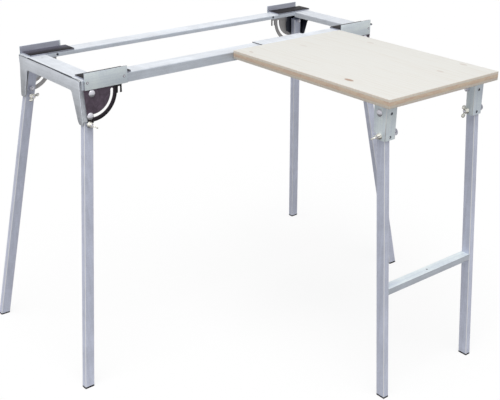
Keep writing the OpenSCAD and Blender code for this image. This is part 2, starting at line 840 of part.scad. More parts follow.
module wing_nut_far_right() { placed(brass_nut) at_corner(right, far) wing_nut_in(-15); }

module both_table_sides() { for (side = [left, right]) at_table(side) children(); }
module side_board() { placed(spruce) table_board(); }
module side_hook() { placed(steel) hook_plate(); }
module side_hook_screws() { placed(steel) hook_screws(); }
module table_bracket_left() { placed(steel) at_table(left) table_bracket(); }
module table_bracket_right() { placed(steel) at_table(right) table_bracket(); }
module bracket_screws() {
    placed(steel) both_table_sides() for (p = bracket_screw_places())
        translate([p.x, p.y, 0]) wood_screw(bracket_sheet);
}
module table_leg_left() { placed(steel) at_table(left) table_leg(); }
module table_leg_right() { placed(steel) at_table(right) table_leg(); }
module side_crossbar() { placed(steel) crossbar(); }
module foot_plugs_table() { placed(rubber) both_table_sides() table_foot_plug(); }
module table_pivot_bolts() { placed(steel) both_table_sides() table_pivot_bolt(); }
module table_lock_bolts() {
    placed(steel) for (side = [left, right]) at_table(side) table_lock_bolt(side);
}
module table_nuts() { placed(steel) both_table_sides() table_nut(); }
module table_spacers() { placed(steel) both_table_sides() table_spacer(); }
module wing_nut_table_left() { placed(brass_nut) at_table(left) table_wing_nut(left, 55); }
module wing_nut_table_right() { placed(brass_nut) at_table(right) table_wing_nut(right, 0); }

rail_near();
rail_far();
cross_plate_left();
cross_plate_right();
quadrant_near_left();
quadrant_near_right();
quadrant_far_left();
quadrant_far_right();
nest_bracket_near_left();
nest_bracket_near_right();
nest_bracket_far_left();
nest_bracket_far_right();
pad_near_left();
pad_near_right();
pad_far_left();
pad_far_right();
frame_rivets();
apron_left();
leg_tube_near_left();
leg_tube_far_left();
foot_plugs_left();
pivot_bolts_left();
guide_bolts_left();
lock_bolts_left();
hinge_nuts_left();
hinge_spacers_left();
wing_nut_near_left();
wing_nut_far_left();
apron_right();
leg_tube_near_right();
leg_tube_far_right();
foot_plugs_right();
pivot_bolts_right();
guide_bolts_right();
lock_bolts_right();
hinge_nuts_right();
hinge_spacers_right();
wing_nut_near_right();
wing_nut_far_right();
side_board();  // table_board
side_hook();  // hook_plate
side_hook_screws();  // hook_screws
table_bracket_left();
table_bracket_right();
bracket_screws();
table_leg_left();
table_leg_right();
side_crossbar();  // crossbar
foot_plugs_table();
table_pivot_bolts();
table_lock_bolts();
table_nuts();
table_spacers();
wing_nut_table_left();
wing_nut_table_right();
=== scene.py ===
"""Looks of a folding steel stand with a wooden side table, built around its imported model."""

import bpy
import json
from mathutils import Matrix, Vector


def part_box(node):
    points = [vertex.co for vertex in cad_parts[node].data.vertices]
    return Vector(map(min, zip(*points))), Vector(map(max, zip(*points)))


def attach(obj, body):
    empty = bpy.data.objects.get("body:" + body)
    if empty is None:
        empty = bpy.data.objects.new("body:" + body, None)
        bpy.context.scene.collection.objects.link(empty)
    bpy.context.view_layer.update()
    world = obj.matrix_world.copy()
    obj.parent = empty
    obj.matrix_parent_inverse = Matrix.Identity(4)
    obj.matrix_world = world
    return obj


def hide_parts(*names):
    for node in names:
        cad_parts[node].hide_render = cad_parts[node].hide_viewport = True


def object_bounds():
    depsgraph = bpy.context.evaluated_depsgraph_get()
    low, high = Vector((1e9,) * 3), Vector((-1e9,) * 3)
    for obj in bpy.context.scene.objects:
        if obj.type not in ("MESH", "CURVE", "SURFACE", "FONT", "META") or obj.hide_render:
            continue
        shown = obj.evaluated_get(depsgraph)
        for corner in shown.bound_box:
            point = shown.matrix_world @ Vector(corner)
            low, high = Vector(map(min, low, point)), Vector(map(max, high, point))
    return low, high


bl_info = {
    "name": "Folding stand with side table",
    "version": (1, 0, 0),
    "blender": (4, 5, 0),
    "location": "View3D > Sidebar > Stand",
    "description": "Finishes and small pieces of a folding steel stand with a wooden side table",
    "category": "Object",
}

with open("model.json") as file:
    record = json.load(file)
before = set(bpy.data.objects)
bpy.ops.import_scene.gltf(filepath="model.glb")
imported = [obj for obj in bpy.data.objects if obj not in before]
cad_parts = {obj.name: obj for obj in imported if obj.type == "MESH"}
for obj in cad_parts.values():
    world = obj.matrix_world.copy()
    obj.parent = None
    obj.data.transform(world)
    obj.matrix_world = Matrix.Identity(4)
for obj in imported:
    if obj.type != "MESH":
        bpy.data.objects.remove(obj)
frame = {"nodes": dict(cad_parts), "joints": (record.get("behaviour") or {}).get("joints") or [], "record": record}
CAD_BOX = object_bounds()

import json
import math

import bmesh
import bpy
from bpy.props import FloatProperty, FloatVectorProperty, PointerProperty
from mathutils import Matrix, Vector

X, Y, Z = (Vector(row) for row in Matrix.Identity(3))
MIDDLE_Y = sum(corner.y for corner in (*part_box("rail_near"), *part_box("rail_far"))) / 4
BODIES = frame["record"]["behaviour"]["bodies"]
BODY_OF = {node: body for body, nodes in BODIES.items() for node in nodes}

WHITE = (1.0, 1.0, 1.0, 1.0)

# Where the finishes change over a piece
SIDE_FROM, SIDE_FULL = 0.4, 0.6  # the part of a normal along an axis that makes a face a side
NEST_PLATE = 0.1911  # from the middle to the inner face of a nest's outer plate
RIVET_TOP = MIDDLE_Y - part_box("frame_rivets")[0].y  # from the middle to the rivets' tops
HOLE_SHADE = 0.0047  # radius of the painted shade round a hole
BRACKET_HOLES = [(x, -0.5228, z) for x in (0.0004, 0.3656) for z in (0.795, 0.861)]
# Painted shadow: dark spots on the far rail's inner lip where the quadrants' tabs end inside the flange; no slots
# are cut there.
LIP_SHADOW_SPOTS = [(-0.466, 0.4274, 0.900), (0.401, 0.4274, 0.900)]
CROSS_DIMPLE = (-0.5333, 0.3960, 0.906)
DIMPLE_SHADE = 0.0045  # radius of the painted shade of the dimple
FASTENER_EDGE = 0.0005  # rounding that light shows on bolts, nuts and rivets
MOULDED_EDGE = 0.0008  # the same on rubber and on the coated quadrants
KNOTS = (  # x, y, half width, strength
    (0.0108, -0.3485, 0.0085, 0.75), (0.3937, -0.4371, 0.0070, 0.25),
    (0.2813, -0.4445, 0.0065, 0.20), (0.3698, -0.0842, 0.0075, 0.16),
    (-0.0073, 0.0541, 0.0045, 0.40), (0.1724, 0.0151, 0.0080, 0.10),
)
KNOT_STRETCH = 0.45  # width of a knot as a share of its length along the grain

# Shapes
SAME_PLACE = 1e-4  # points in one face differ by less
FOLD_RISE = 0.05  # a fold rises more than this
SOCKET_FOLD = 0.09  # an apron's folds are longer than this
BORE_PLAY = 0.00005  # between a bolt and the bore of its nut
WING_NUTS = (  # place, way it faces, turn of the wings
    ("near_left", -Y, math.radians(-30)), ("far_left", -Y, math.radians(30)),
    ("near_right", -Y, math.radians(-15)), ("far_right", -Y, math.radians(-15)),
    ("table_left", -X, math.radians(145)), ("table_right", -X, math.radians(90)),
)

# Stage
FLOOR_HALF = 30.0  # half the floor's width
FLOOR_DROP = 0.0005  # the floor lies this much under the feet
FLOOR_WHITE = 0.85  # share of plain white in the floor, the rest holds the shadow
KEY_WAY = Vector((0.25, 0.25, -1))  # the way that the wide light shines


def joint_of(body):
    """The joint that moves a body."""
    return next(joint for joint in frame["joints"] if joint["child"] == body)


def linear(screen):
    """A colour given as eight-bit screen values, in scene values."""
    return tuple(((c / 255 + 0.055) / 1.055) ** 2.4 for c in screen) + (1.0,)


def shade_of(colour, factor):
    """A lighter or darker shade of a colour."""
    return tuple(min(1.0, c * factor) for c in colour[:3]) + (1.0,)


def colour_prop(name, description, screen):
    return FloatVectorProperty(
        name=name, description=description, subtype="COLOR", size=4, min=0, max=1,
        default=linear(screen),
    )


def length_prop(name, description, metres):
    return FloatProperty(name=name, description=description, unit="LENGTH", min=0, default=metres)


class StandFinish(bpy.types.PropertyGroup):
    """Colours and surface values of the stand's finishes."""

    zinc: colour_prop("Zinc", "Zinc coat of the leg tubes", (213, 218, 236))
    zinc_pale: colour_prop(
        "Pale zinc", "Zinc coat of the nests' plates, brackets and crossbar", (230, 241, 255)
    # Painted shade: the rails' upright faces, and a darker copy on the crossbar's, stand in for the shade on their
    # sides.
    )
    zinc_light: colour_prop("Light zinc", "Zinc coat of the main frame's plates", (227, 232, 240))
    # Painted shade: the nests' bases and inner uprights are coloured darker to stand in for the shade they lie in
    # beside the black mats.
    nest_shade: colour_prop("Nest shade", "Painted shade on the nests' bases and uprights", (165, 168, 182))
    rail_side_shade: colour_prop("Rail sides", "Upright faces of the rails", (215, 222, 232))
    # Painted shade: the aprons' inward faces, the cross plates' outward faces behind the aprons and the hook
    # plate's left ends are coloured near black for the shade they lie in.
    shaded: colour_prop("Shaded steel", "Painted shade on inner faces and cut ends of the sheet", (42, 46, 60))
    quadrant: colour_prop("Quadrants", "Outer faces of the quadrant plates", (105, 92, 106))
    quadrant_inside: colour_prop(
        "Quadrants inside", "Inner faces of the quadrant plates", (228, 224, 222)
    )
    bright_zinc: colour_prop("Bright zinc", "Plating of the bolts and nuts", (228, 227, 236))
    brass: colour_prop("Yellow zinc", "Plating of the wing nuts", (248, 244, 232))
    rubber: colour_prop("Rubber", "Foot plugs", (15, 15, 17))
    mat: colour_prop("Mats", "Rubber mats of the nests", (25, 22, 27))
    # Painted reflection: the lighter colour at the far left mat's back stands in for its steel upright mirrored in
    # it.
    mat_reflection: colour_prop("Mat reflection", "Far left mat beside its upright", (88, 87, 100))
    wood_face: colour_prop("Wood face", "Faces of the board", (230, 229, 224))
    wood_grain: colour_prop("Wood grain", "Darker lines in the board's faces", (222, 216, 206))
    wood_edge: colour_prop("Wood edge", "Outer layers at the board's edges", (255, 235, 221))
    wood_core: colour_prop("Wood core", "Middle layer at the board's edges", (254, 214, 190))
    knot: colour_prop("Knot", "Knots in the board", (160, 116, 88))
    cut_edge: length_prop("Cut edge", "Rounding that light shows on sheared steel", 0.0006)


class StandSizes(bpy.types.PropertyGroup):
    """Sizes of the small pieces."""

    board_round: length_prop("Board edge", "Rounding of the board's edges", 0.0012)
    layer: length_prop("Outer layer", "Thickness of the board's outer layers", 0.0075)
    head_height: length_prop("Bolt head", "Height of the domed bolt heads", 0.005)
    shank: length_prop("Bolt", "Radius of the bolts", 0.004)
    nut_height: length_prop("Nut", "Height of the hexagon nuts", 0.0065)
    nut_flats: length_prop("Nut width", "Width of the hexagon nuts over their flats", 0.013)
    wing_span: length_prop("Wings", "Span over a wing nut's wings", 0.038)
    rivet_height: length_prop("Rivets", "Height of the nests' rivet heads", 0.0012)
    screw_head: length_prop("Screw heads", "Radius of the wood screws' heads", 0.0045)
    screw_height: length_prop("Screw head height", "Height of the wood screws' heads", 0.0025)
    screw_shank: length_prop("Screws", "Radius of the wood screws", 0.002)
    fold: length_prop("Folds", "Outer radius of the folds in bent sheet", 0.0025)
    edge_break: length_prop("Broken edges", "Rounding of cut sheet", 0.0004)
    plug_round: length_prop("Plug edges", "Rounding of the foot plugs' edges", 0.0010)
    mat_round: length_prop("Mat edges", "Rounding of the mats' edges", 0.0005)


class StandStage(bpy.types.PropertyGroup):
    """Camera, light and floor."""

    focal: FloatProperty(
        name="Focal length", description="Lens of the camera", unit="CAMERA", default=67.85
    )
    shift: FloatProperty(
        name="Shift", description="Sideways shift of the picture, in its own widths", default=0.001
    )
    place: FloatVectorProperty(
        name="Camera", description="Place of the camera", subtype="TRANSLATION", unit="LENGTH",
        default=(-1.803, -2.1216, 1.630),
    )
    heading: FloatProperty(
        name="Heading", description="Turn of the view from +Y towards +X", subtype="ANGLE",
        default=math.radians(39.51),
    )
    down: FloatProperty(
        name="Down", description="Tilt of the view below the horizon", subtype="ANGLE",
        default=math.radians(23.21),
    )
    roll: FloatProperty(
        name="Roll", description="Turn of the camera about its view", subtype="ANGLE",
        default=math.radians(0.55),
    )
    ambient: FloatProperty(
        name="Ambient", description="Strength of the light from all sides", default=0.36
    )
    key: FloatProperty(
        name="Key light", description="Strength of the wide light above", default=2.2
    )
    key_width: FloatProperty(
        name="Key width", description="Angle over which the wide light is spread", subtype="ANGLE",
        default=math.radians(50),
    )
    bounce: FloatProperty(
        name="Bounce", description="Share of its light that the floor throws back", default=0.25
    )


class Value:
    """A node's socket, on which arithmetic adds Math nodes."""

    def __init__(self, tree, socket):
        self.tree, self.socket = tree, socket

    def maths(self, operation, *values):
        return self.tree.node("ShaderNodeMath", {"operation": operation}, dict(enumerate(values)))

    def __add__(self, other):
        return self.maths("ADD", self, other)

    __radd__ = __add__

    def __sub__(self, other):
        return self.maths("SUBTRACT", self, other)

    def __rsub__(self, other):
        return self.maths("SUBTRACT", other, self)

    def __mul__(self, other):
        return self.maths("MULTIPLY", self, other)

    __rmul__ = __mul__

    def __pow__(self, other):
        return self.maths("POWER", self, other)

    def __abs__(self):
        return self.maths("ABSOLUTE", self)

    def sine(self):
        return self.maths("SINE", self)

    def spread(self, factor):
        """Stretches the values about 0.5."""
        return 0.5 + (self - 0.5) * factor

    def larger(self, other):
        return self.maths("MAXIMUM", self, other)

    def smaller(self, other):
        return self.maths("MINIMUM", self, other)

    def ramp(self, low, high):
        """0 up to low, 1 from high on, smooth between; low may be the larger one."""
        inputs = {0: self, 1: low, 2: high}
        if low > high:
            inputs = {0: self, 1: high, 2: low, 3: 1.0, 4: 0.0}
        settings = {"interpolation_type": "SMOOTHSTEP"}
        return self.tree.node("ShaderNodeMapRange", settings, inputs)


class Tree:
    """Adds nodes to a node tree and links them."""

    def __init__(self, tree):
        self.tree = tree
        tree.nodes.clear()

    def node(self, kind, settings=None, inputs=None, out=0):
        """A node with its settings and its sockets' values or links, as one of its outputs."""
        made = self.tree.nodes.new(kind)
        for name, value in (settings or {}).items():
            setattr(made, name, value)
        for name, value in (inputs or {}).items():
            if isinstance(value, Value):
                self.tree.links.new(value.socket, made.inputs[name])
            else:
                made.inputs[name].default_value = value
        return Value(self, made.outputs[out]) if len(made.outputs) else made

    def mix(self, factor, first, second):
        settings = {"data_type": "RGBA", "clamp_factor": True}
        return self.node("ShaderNodeMix", settings, {0: factor, 6: first, 7: second}, out=2)

    def distance(self, first, second):
        settings = {"operation": "DISTANCE"}
        return self.node("ShaderNodeVectorMath", settings, {0: first, 1: second}, out=1)


class Finish(Tree):
    """A material with a node tree on Object coordinates."""

    def __init__(self, name):
        self.material = bpy.data.materials.new(name)
        self.material.use_nodes = True
        super().__init__(self.material.node_tree)
        self.place = self.node("ShaderNodeTexCoord", out=3)
        self.normal = None

    def scaled(self, *scale):
        return self.node("ShaderNodeMapping", {}, {"Vector": self.place, "Scale": scale})

    def axis(self, index):
        """One of the place's three numbers."""
        return self.node("ShaderNodeSeparateXYZ", {}, {0: self.place}, out=index)

    def facing(self, index):
        """One of the three numbers of the object's own normal."""
        normal = self.node("ShaderNodeTexCoord", out=1)
        return self.node("ShaderNodeSeparateXYZ", {}, {0: normal}, out=index)

    def side(self, index, way):
        """1 on the faces that look along an axis, or against it for a way of -1."""
        return self.facing(index).ramp(SIDE_FROM * way, SIDE_FULL * way)

    def shades(self, factor, colour, low, high):
        """A colour that goes from one shade of itself to another."""
        return self.mix(factor, shade_of(colour, low), shade_of(colour, high))

    def noise(self, vector, scale, detail=3.0, rough=0.55, warp=0.0):
        return self.node("ShaderNodeTexNoise", {}, {
            "Vector": vector, "Scale": scale, "Detail": detail, "Roughness": rough,
            "Distortion": warp,
        })

    def cells(self, scale):
        """A random shade for each cell."""
        inputs = {"Vector": self.place, "Scale": scale}
        colour = self.node("ShaderNodeTexVoronoi", {}, inputs, out=1)
        return self.node("ShaderNodeSeparateColor", {}, {0: colour})

    def bevelled(self, radius):
        """Makes edges catch the light as if rounded, and gives a mask of these edges."""
        self.normal = self.node("ShaderNodeBevel", {"samples": 4}, {"Radius": radius})
        inputs = {0: self.normal, 1: self.node("ShaderNodeNewGeometry", out=1)}
        settings = {"operation": "DOT_PRODUCT"}
        return 1 - self.node("ShaderNodeVectorMath", settings, inputs, out=1)

    def bump(self, height, depth, strength):
        inputs = {"Strength": strength, "Distance": depth, "Height": height}
        if self.normal:
            inputs["Normal"] = self.normal
        self.normal = self.node("ShaderNodeBump", {}, inputs)

    def surface(self, **values):
        """The Principled shader, from its sockets' names with underscores, and the output."""
        inputs = {name.replace("_", " "): value for name, value in values.items()}
        if self.normal:
            inputs["Normal"] = self.normal
        shader = self.node("ShaderNodeBsdfPrincipled", {}, inputs)
        self.node("ShaderNodeOutputMaterial", {}, {0: shader})
        return self.material


def shown_to_eye(tree):
    """1 for what the camera sees, directly, mirrored or through glass."""
    seen, glossy, through = (tree.node("ShaderNodeLightPath", out=out) for out in (0, 3, 6))
    return seen.larger(glossy).larger(through)


def zinc_finish(name, look, colour, along, inner=None, mask=None, painted_corner_highlight=False, dark=None):
    """Galvanised steel with lines along one axis, patches, spangle and painted highlights on its edges.

    A second colour of painted shade goes where the mask is 1, the corner option paints highlights on the round
    corners of tubes and folds, and dark marks of painted shade go where the other mask is 1.
    """
    f = Finish(name)
    stretch = (3.0 if i == along else 95.0 for i in range(3))
    drawn = f.noise(f.scaled(*stretch), 1.0, 4.0, 0.6)
    patch = f.noise(f.place, 14.0, 3.0, 0.5, 0.6)
    flake = f.cells(420.0)
    tone = 0.5 + (drawn - 0.5) * 1.2 + (patch - 0.5) * 1.3 + (flake - 0.5) * 0.25
    base = f.shades(tone, colour, 0.82, 1.16)
    if painted_corner_highlight:
        # Painted highlight on the round corners.
        corner = abs(f.facing(0)).smaller(abs(f.facing(1))).ramp(0.15, 0.45)
        base = f.mix(corner * 0.9, base, shade_of(colour, 1.7))
    # Painted highlight on the edges.
    edge = f.bevelled(look.cut_edge).ramp(0.02, 0.25)
    base = f.mix(edge * 0.5, base, shade_of(colour, 1.3))
    if mask:
        base = f.mix(mask(f), base, f.shades(tone, inner, 0.85, 1.15))
    if dark:
        base = f.mix(dark(f), base, look.shaded)
    f.bump(drawn * 0.5 + flake * 0.25 + f.noise(f.place, 900.0, 2.0) * 0.25, 0.0002, 0.35)
    rough = 0.4 + (patch - 0.5) * 0.25 + (flake - 0.5) * 0.08
    return f.surface(Base_Color=base, Metallic=0.22, Roughness=rough)


def rail_sides(f):
    """The upright faces of a rail or bar that runs along X, which get painted shade."""
    return abs(f.facing(1)).ramp(SIDE_FROM, SIDE_FULL)


def nest_inside(f):
    """The base and the inner upright of a nest, inside its outer plate, which get painted shade."""
    return abs(f.axis(1) - MIDDLE_Y).ramp(NEST_PLATE, NEST_PLATE - 0.0004)


def nest_top_shade(f):
    """Painted shade along the top edge of a nest's plates."""
    top = CAD_BOX[1][2]
    return f.facing(2).ramp(0.5, 0.8) * f.axis(2).ramp(top - 0.0075, top - 0.0025)


def apron_inside(f):
    """The faces of the right apron's end sheet and returns that look at the frame's middle, which get painted
    shade.
    """
    returns = (f.facing(1) * (f.axis(1) - MIDDLE_Y)).ramp(-0.08, -0.12)
    return f.side(0, -1).larger(returns)


def spots(f, places, radius):
    """Small round marks of painted shade at places on the sheet."""
    total = 0
    for place in places:
        total = total + f.distance(f.place, place).ramp(radius, radius * 0.7)
    return total


def cross_outside(f):
    """The outward faces of the left cross plate, which get painted shade, and a faint painted shade of a dimple in
    its top.
    """
    return f.side(0, -1).larger(spots(f, [CROSS_DIMPLE], DIMPLE_SHADE) * 0.3)


def coat_finish(name, look, outside):
    """Plate with a dark mottled outer face, a pale inner face, and painted shade, near black, on its outer face
    away from the pivot.

    The outer face looks along Y for an outside of 1, against it for -1.
    """
    pivot = joint_of("right_legs")["pos_m"]
    f = Finish(name)
    blotch = f.noise(f.place, 55.0, 5.0, 0.65, 0.8)
    fine = f.noise(f.place, 420.0, 3.0)
    tone = blotch.spread(2.2)
    dark = f.shades(tone, look.quadrant, 0.5, 1.35)
    # Painted shade: far from the pivot the outer face turns near black.
    far = ((abs(f.axis(0)) - pivot[0]) ** 2.0 + (f.axis(2) - pivot[2]) ** 2.0) ** 0.5
    dark = f.mix(far.ramp(0.055, 0.080), dark, shade_of(look.quadrant, 0.07))
    pale = f.shades(tone, look.quadrant_inside, 0.9, 1.08)
    base = f.mix((f.facing(1) * outside).ramp(-0.6, -0.4), pale, dark)
    f.bevelled(MOULDED_EDGE)
    f.bump(blotch * 0.4 + fine * 0.6, 0.0003, 0.4)
    rough = 0.5 + (blotch - 0.5) * 0.3
    return f.surface(Base_Color=base, Roughness=rough, Specular_IOR_Level=0.2)


def plated_finish(name, colour, roughness, shade, rim=False):
    """Clouded plating of fasteners with painted highlights on its edges and painted shade on its lower side, or
    round the rim of rivets.
    """
    f = Finish(name)
    cloud = f.noise(f.place, 160.0, 4.0, 0.6, 0.5)
    fine = f.noise(f.place, 1500.0, 2.0)
    base = f.shades(cloud.spread(1.2), colour, 0.8, 1.15)
    # Painted shade on the lower side, or on rivets a ring of painted shade round the rim.
    lower = f.facing(2).ramp(0.0, -0.3)
    if rim:
        out = abs(f.axis(1) - MIDDLE_Y)
        lower = out.ramp(RIVET_TOP - 0.00003, RIVET_TOP - 0.00008)
    # Painted highlight on the edges.
    edge = f.bevelled(FASTENER_EDGE).ramp(0.03, 0.3)
    base = f.mix(edge * 0.4, base, shade_of(colour, 1.35))
    base = f.mix(lower, base, shade_of(colour, shade))
    f.bump(fine, 0.0001, 0.3)
    rough = roughness + (cloud - 0.5) * 0.2
    return f.surface(Base_Color=base, Metallic=0.55, Roughness=rough)


def rubber_finish(name, colour, upright_reflection=None):
    """Moulded rubber with fine pores and a dusty bloom; the far left mat has a painted reflection of its upright
    at its back.
    """
    f = Finish(name)
    dust = f.noise(f.place, 38.0, 4.0, 0.6, 0.4)
    pores = f.noise(f.place, 1300.0, 2.0)
    base = f.shades(dust.ramp(0.35, 0.8) * 0.3, colour, 0.9, 1.8)
    if upright_reflection:
        # Painted reflection of the upright at the mat's back.
        reflected_upright = (f.axis(1) - MIDDLE_Y).ramp(0.140, 0.186) * f.axis(0).ramp(0.1, -0.1)
        base = f.mix(reflected_upright, base, upright_reflection)
    f.bevelled(MOULDED_EDGE)
    f.bump(pores, 0.0002, 0.35)
    rough = 0.68 + (dust - 0.5) * 0.25
    return f.surface(Base_Color=base, Roughness=rough, Specular_IOR_Level=0.2)


MAKERS = {  # each takes the finish's own name and the colours
    "zinc_crossbar": lambda name, look: zinc_finish(
        name, look, look.zinc_pale, 0, shade_of(look.rail_side_shade, 0.85), rail_sides),
    "zinc_rail": lambda name, look: zinc_finish(
        name, look, look.zinc_light, 0, look.rail_side_shade, rail_sides,
        dark=lambda f: spots(f, LIP_SHADOW_SPOTS, HOLE_SHADE)),
    # The shaded_ finishes put painted shade in the shaded colour on the faces that their masks pick.
    "shaded_east": lambda name, look: zinc_finish(
        name, look, shade_of(look.zinc_light, 0.88), 1, look.shaded, lambda f: f.side(0, 1)),
    "shaded_west": lambda name, look: zinc_finish(
        name, look, look.zinc_light, 1, look.shaded, lambda f: f.side(0, -1)),
    "shaded_inside": lambda name, look: zinc_finish(
        name, look, look.zinc_light, 1, look.shaded, apron_inside),
    "shaded_dimple": lambda name, look: zinc_finish(
        name, look, look.zinc_light, 1, look.shaded, cross_outside),
    "zinc_pressed": lambda name, look: zinc_finish(
        name, look, look.zinc_pale, 2, painted_corner_highlight=True,
        dark=lambda f: spots(f, BRACKET_HOLES, HOLE_SHADE)),
    "zinc_tube": lambda name, look: zinc_finish(name, look, look.zinc, 2, painted_corner_highlight=True),
    "near_nest": lambda name, look: zinc_finish(
        name, look, look.zinc_pale, 0, look.nest_shade, nest_inside, dark=nest_top_shade),
    "far_nest": lambda name, look: zinc_finish(
        name, look, look.zinc_pale, 0, look.nest_shade, nest_inside),
    "near_plate": lambda name, look: coat_finish(name, look, -1),
    "far_plate": lambda name, look: coat_finish(name, look, 1),
    "bright_plating": lambda name, look: plated_finish(name, look.bright_zinc, 0.3, 0.32),
    "riveted": lambda name, look: plated_finish(name, look.bright_zinc, 0.3, 0.3, rim=True),
    "yellow_plating": lambda name, look: plated_finish(name, look.brass, 0.34, 0.3),
    "moulded_rubber": lambda name, look: rubber_finish(name, look.rubber),
    "rubber_mat": lambda name, look: rubber_finish(name, look.mat, look.mat_reflection),
}
KINDS = (  # how a node's name starts, its finish
    ("rail", "zinc_rail"), ("crossbar", "zinc_crossbar"),
    ("cross_plate_left", "shaded_dimple"), ("cross_plate_right", "shaded_east"),
    ("nest_bracket_near", "near_nest"), ("nest_bracket_far", "far_nest"),
    ("apron_left", "shaded_east"), ("apron_right", "shaded_inside"), ("hook_plate", "shaded_west"),
    ("leg_tube", "zinc_tube"), ("table_leg", "zinc_tube"), ("table_bracket", "zinc_pressed"),
    ("quadrant_near", "near_plate"), ("quadrant_far", "far_plate"), ("pad", "rubber_mat"),
    ("foot_plugs", "moulded_rubber"), ("wing_nut", "yellow_plating"),
    ("frame_rivets", "riveted"), ("", "bright_plating"),
)


def finish(node):
    """The finish of a CAD node, made when it is first asked for."""
    kind = next(kind for start, kind in KINDS if node.startswith(start))
    return bpy.data.materials.get(kind) or MAKERS[kind](kind, bpy.context.scene.stand_finish)


def abs_of(vector):
    return Vector(abs(c) for c in vector)


def place_at(seat, axis, across):
    """Puts Z along an axis and X across it, with the origin at a seat."""
    turn = Matrix((across, axis.cross(across), axis)).transposed()
    return Matrix.Translation(seat) @ turn.to_4x4()


def add_part(mesh, part, place):
    """Puts a part that is drawn about the origin into a mesh."""
    part.transform(place)
    data = bpy.data.meshes.new("part")
    part.to_mesh(data)
    part.free()
    mesh.from_mesh(data)
    bpy.data.meshes.remove(data)


def stand_piece(name, mesh, *nodes, material=None):
    """An object at the origin that stands for CAD nodes and rides where they do."""
    data = bpy.data.meshes.new(name)
    bmesh.ops.recalc_face_normals(mesh, faces=mesh.faces)
    mesh.to_mesh(data)
    mesh.free()
    data.shade_smooth()
    data.set_sharp_from_angle(angle=math.radians(32))
    data.materials.append(material or finish(nodes[0]))
    piece = bpy.data.objects.new(name, data)
    bpy.context.scene.collection.objects.link(piece)
    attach(piece, BODY_OF[nodes[0]])
    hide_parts(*nodes)
    return piece


def node_copy(node):
    """The mesh of a CAD node with its loose triangles joined."""
    mesh = bmesh.new()
    mesh.from_mesh(frame["nodes"][node].data)
    bmesh.ops.remove_doubles(mesh, verts=mesh.verts, dist=2e-6)
    return mesh


def solids(node):
    """Lowest and highest corner of each separate solid of a node."""
    mesh = node_copy(node)
    seen, boxes = set(), []
    for start in mesh.verts:
        if start in seen:
            continue
        group, wave = {start}, [start]
        while wave:
            joined = [edge.other_vert(vert) for vert in wave for edge in vert.link_edges]
            wave = [vert for vert in dict.fromkeys(joined) if vert not in group]
            group.update(wave)
        seen |= group
        spans = [sorted(vert.co[i] for vert in group) for i in range(3)]
        boxes.append((Vector(span[0] for span in spans), Vector(span[-1] for span in spans)))
    mesh.free()
    return boxes


def round_off(mesh, offset, segments, wanted):
    """Bevels the sharp edges that are wanted."""
    sharp = [
        edge for edge in mesh.edges
        if len(edge.link_faces) == 2 and edge.calc_face_angle() > math.radians(30)
    ]
    bmesh.ops.bevel(
        mesh, geom=[edge for edge in sharp if wanted(edge)], affect="EDGES", offset=offset,
        segments=segments, profile=0.5, material=-1, clamp_overlap=True,
    )


def softened(name, node, radius, fold=0.0, folds=None):
    """A copy of a CAD node with broken edges, and with wider bends where folds picks an edge."""
    mesh = node_copy(node)
    bmesh.ops.dissolve_limit(
        mesh, angle_limit=math.radians(0.6), verts=mesh.verts, edges=mesh.edges
    )
    if folds:
        round_off(mesh, fold, 5, folds)
    round_off(mesh, radius, 2, lambda edge: edge.calc_length() > 3 * radius)
    return stand_piece(name, mesh, node)


def rising_folds(face, index, shortest=0.0):
    """Picks the rising edges in the outer face of a bent sheet."""
    def picked(edge):
        ends = [vert.co for vert in edge.verts]
        in_face = all(abs(end[index] - face) < SAME_PLACE for end in ends)
        return in_face and abs(ends[0].z - ends[1].z) > FOLD_RISE and edge.calc_length() > shortest
    return picked


def turned(part, profile, steps=40):
    """Spins a profile of (radius, height) points about Z."""
    verts = [part.verts.new((radius, 0, height)) for radius, height in profile]
    edges = [part.edges.new(pair) for pair in zip(verts, verts[1:])]
    bmesh.ops.spin(
        part, geom=verts + edges, cent=(0, 0, 0), axis=(0, 0, 1), dvec=(0, 0, 0), angle=math.tau,
        steps=steps, use_merge=True, use_duplicate=False,
    )
    bmesh.ops.remove_doubles(part, verts=part.verts, dist=1e-6)


def domed_bolt(length, head, height, shank):
    """Bolt with a domed head above its seat at the origin, and a thread at its end."""
    ball = (head * head + height * height) / (2 * height)
    rim = height * 0.16
    steps = 8
    profile = [(0, height)]
    for step in range(1, steps + 1):
        radius = head * step / steps
        rise = height - ball + math.sqrt(ball * ball - radius * radius)
        profile.append((radius, rim + rise * (height - rim) / height))
    profile += [(head, rim * 0.3), (head - rim * 0.3, 0), (shank, 0)]
    longest_thread = 0.024
    pitch, low = shank * 0.31, -length + shank * 0.35
    for turn in range(int(min(length * 0.7, longest_thread) / pitch), 0, -1):
        profile += [(shank, low + turn * pitch), (shank * 0.86, low + (turn - 0.5) * pitch)]
    part = bmesh.new()
    turned(part, profile + [(shank, low), (shank * 0.78, -length), (0, -length)])
    return part


def chamfered_nut(height, flats, bore):
    """Hexagon nut with its seat at the origin."""
    corner = flats / math.sqrt(3)
    face = flats * 0.47
    drop = (corner - face) * 0.45
    part = bmesh.new()
    turned(part, [
        (bore, 0), (face, 0), (corner, drop), (corner, height - drop), (face, height),
        (bore * 1.12, height), (bore, height - bore * 0.12), (bore, 0),
    ], 48)
    for turn in range(6):
        normal = Vector((math.cos(math.tau * turn / 6), math.sin(math.tau * turn / 6), 0))
        geom = part.verts[:] + part.edges[:] + part.faces[:]
        cut = bmesh.ops.bisect_plane(
            part, geom=geom, plane_co=normal * flats / 2, plane_no=normal, clear_outer=True
        )
        open_edges = [item for item in cut["geom_cut"] if isinstance(item, bmesh.types.BMEdge)]
        bmesh.ops.holes_fill(part, edges=open_edges)
    return part


